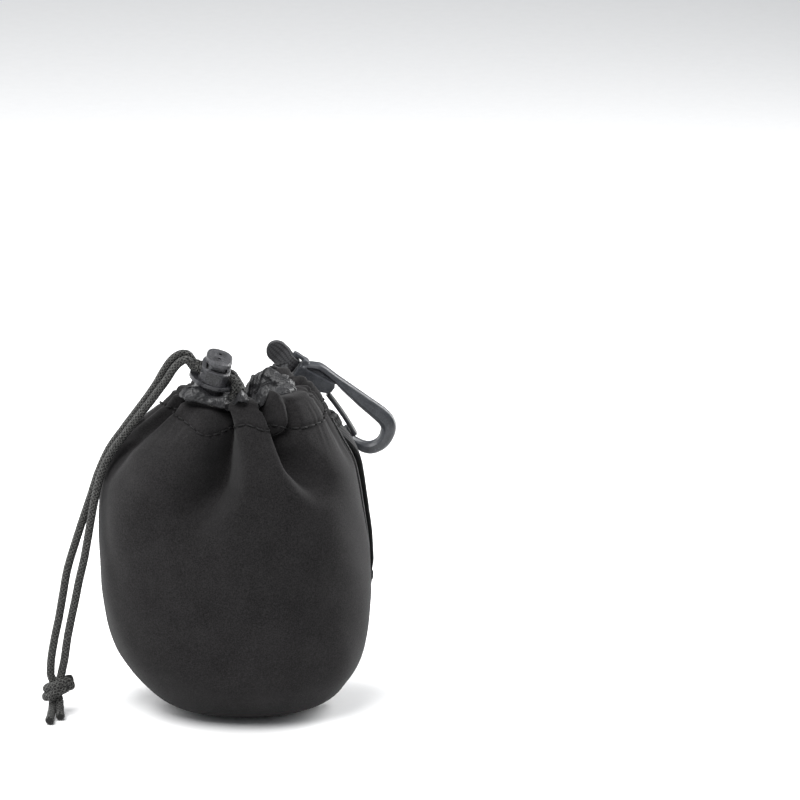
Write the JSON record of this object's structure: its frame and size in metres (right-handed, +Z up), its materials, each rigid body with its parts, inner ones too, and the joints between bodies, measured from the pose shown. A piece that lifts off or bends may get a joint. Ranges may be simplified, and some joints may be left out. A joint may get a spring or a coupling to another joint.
{
  "type": "drawstring pouch",
  "caption": "Padded drawstring pouch with a cord lock on a knotted cord, a belt strap and a snap hook on a webbing loop.",
  "frame": {"origin": "on the table, at the centre of the footprint of the pouch and its hook, without the free cord", "axes": "+Z up out of the mouth, +X to the side of the hook, the front with the cord lock towards -Y"},
  "size_m": [0.0984, 0.0644, 0.1047],
  "materials": {
    "neoprene": "matte black stretch knit laminated on foam",
    "thread": "black polyester sewing thread",
    "nylon": "shiny dark grey woven nylon",
    "braid": "round braided cord, black flecked with grey",
    "webbing": "ribbed black polypropylene webbing",
    "lock_plastic": "fine grained dark grey moulding",
    "hook_plastic": "satin slate grey moulding",
    "spring_steel": "drawn spring wire"
  },
  "bodies": {
    "pouch": {"front_panel": "neoprene", "back_panel": "neoprene", "side_seam_right": "thread", "side_seam_left": "thread", "channel_stitch": "thread", "channel_sleeve": "nylon", "drawcord_in_channel": "braid", "belt_strap": "webbing", "strap_tack_top": "thread", "strap_tack_bottom": "thread", "hook_loop": "webbing", "hook_loop_tack": "thread", "drawcord_left": "braid", "drawcord_right": "braid", "drawcord_knot": "braid", "drawcord_tail_left": "braid", "drawcord_tail_right": "braid"},
    "lock": {"lock_barrel": "lock_plastic", "lock_spring": "spring_steel"},
    "plunger": {"lock_plunger": "lock_plastic"},
    "hook": {"snap_hook": "hook_plastic"},
    "gate": {"hook_gate": "hook_plastic"}
  },
  "joints": [
    {"name": "lock_slide", "type": "slide", "parent": "pouch", "child": "lock", "axis": [-0.9547, -0.0005, 0.2976], "range_m": [0, 0.0015]},
    {"name": "plunger_press", "type": "slide", "parent": "lock", "child": "plunger", "axis": [-0.2916, 0.2011, -0.9352], "range_m": [0, 0.0012], "stiffness_N_per_m": 1500, "springref_m": -0.0008, "deforming": ["lock_spring"]},
    {"name": "hook_swing", "type": "hinge", "parent": "pouch", "child": "hook", "pos_m": [0.01174, 0.0223, 0.0925], "axis": [0.5878, 0, 0.809], "range_deg": [-5, 100]},
    {"name": "gate_flex", "type": "hinge", "parent": "hook", "child": "gate", "pos_m": [0.0233, 0.0223, 0.08372], "axis": [0, -1, 0], "range_deg": [0, 16], "stiffness_Nm_per_rad": 0.15, "springref_deg": -4.58}
  ]
}
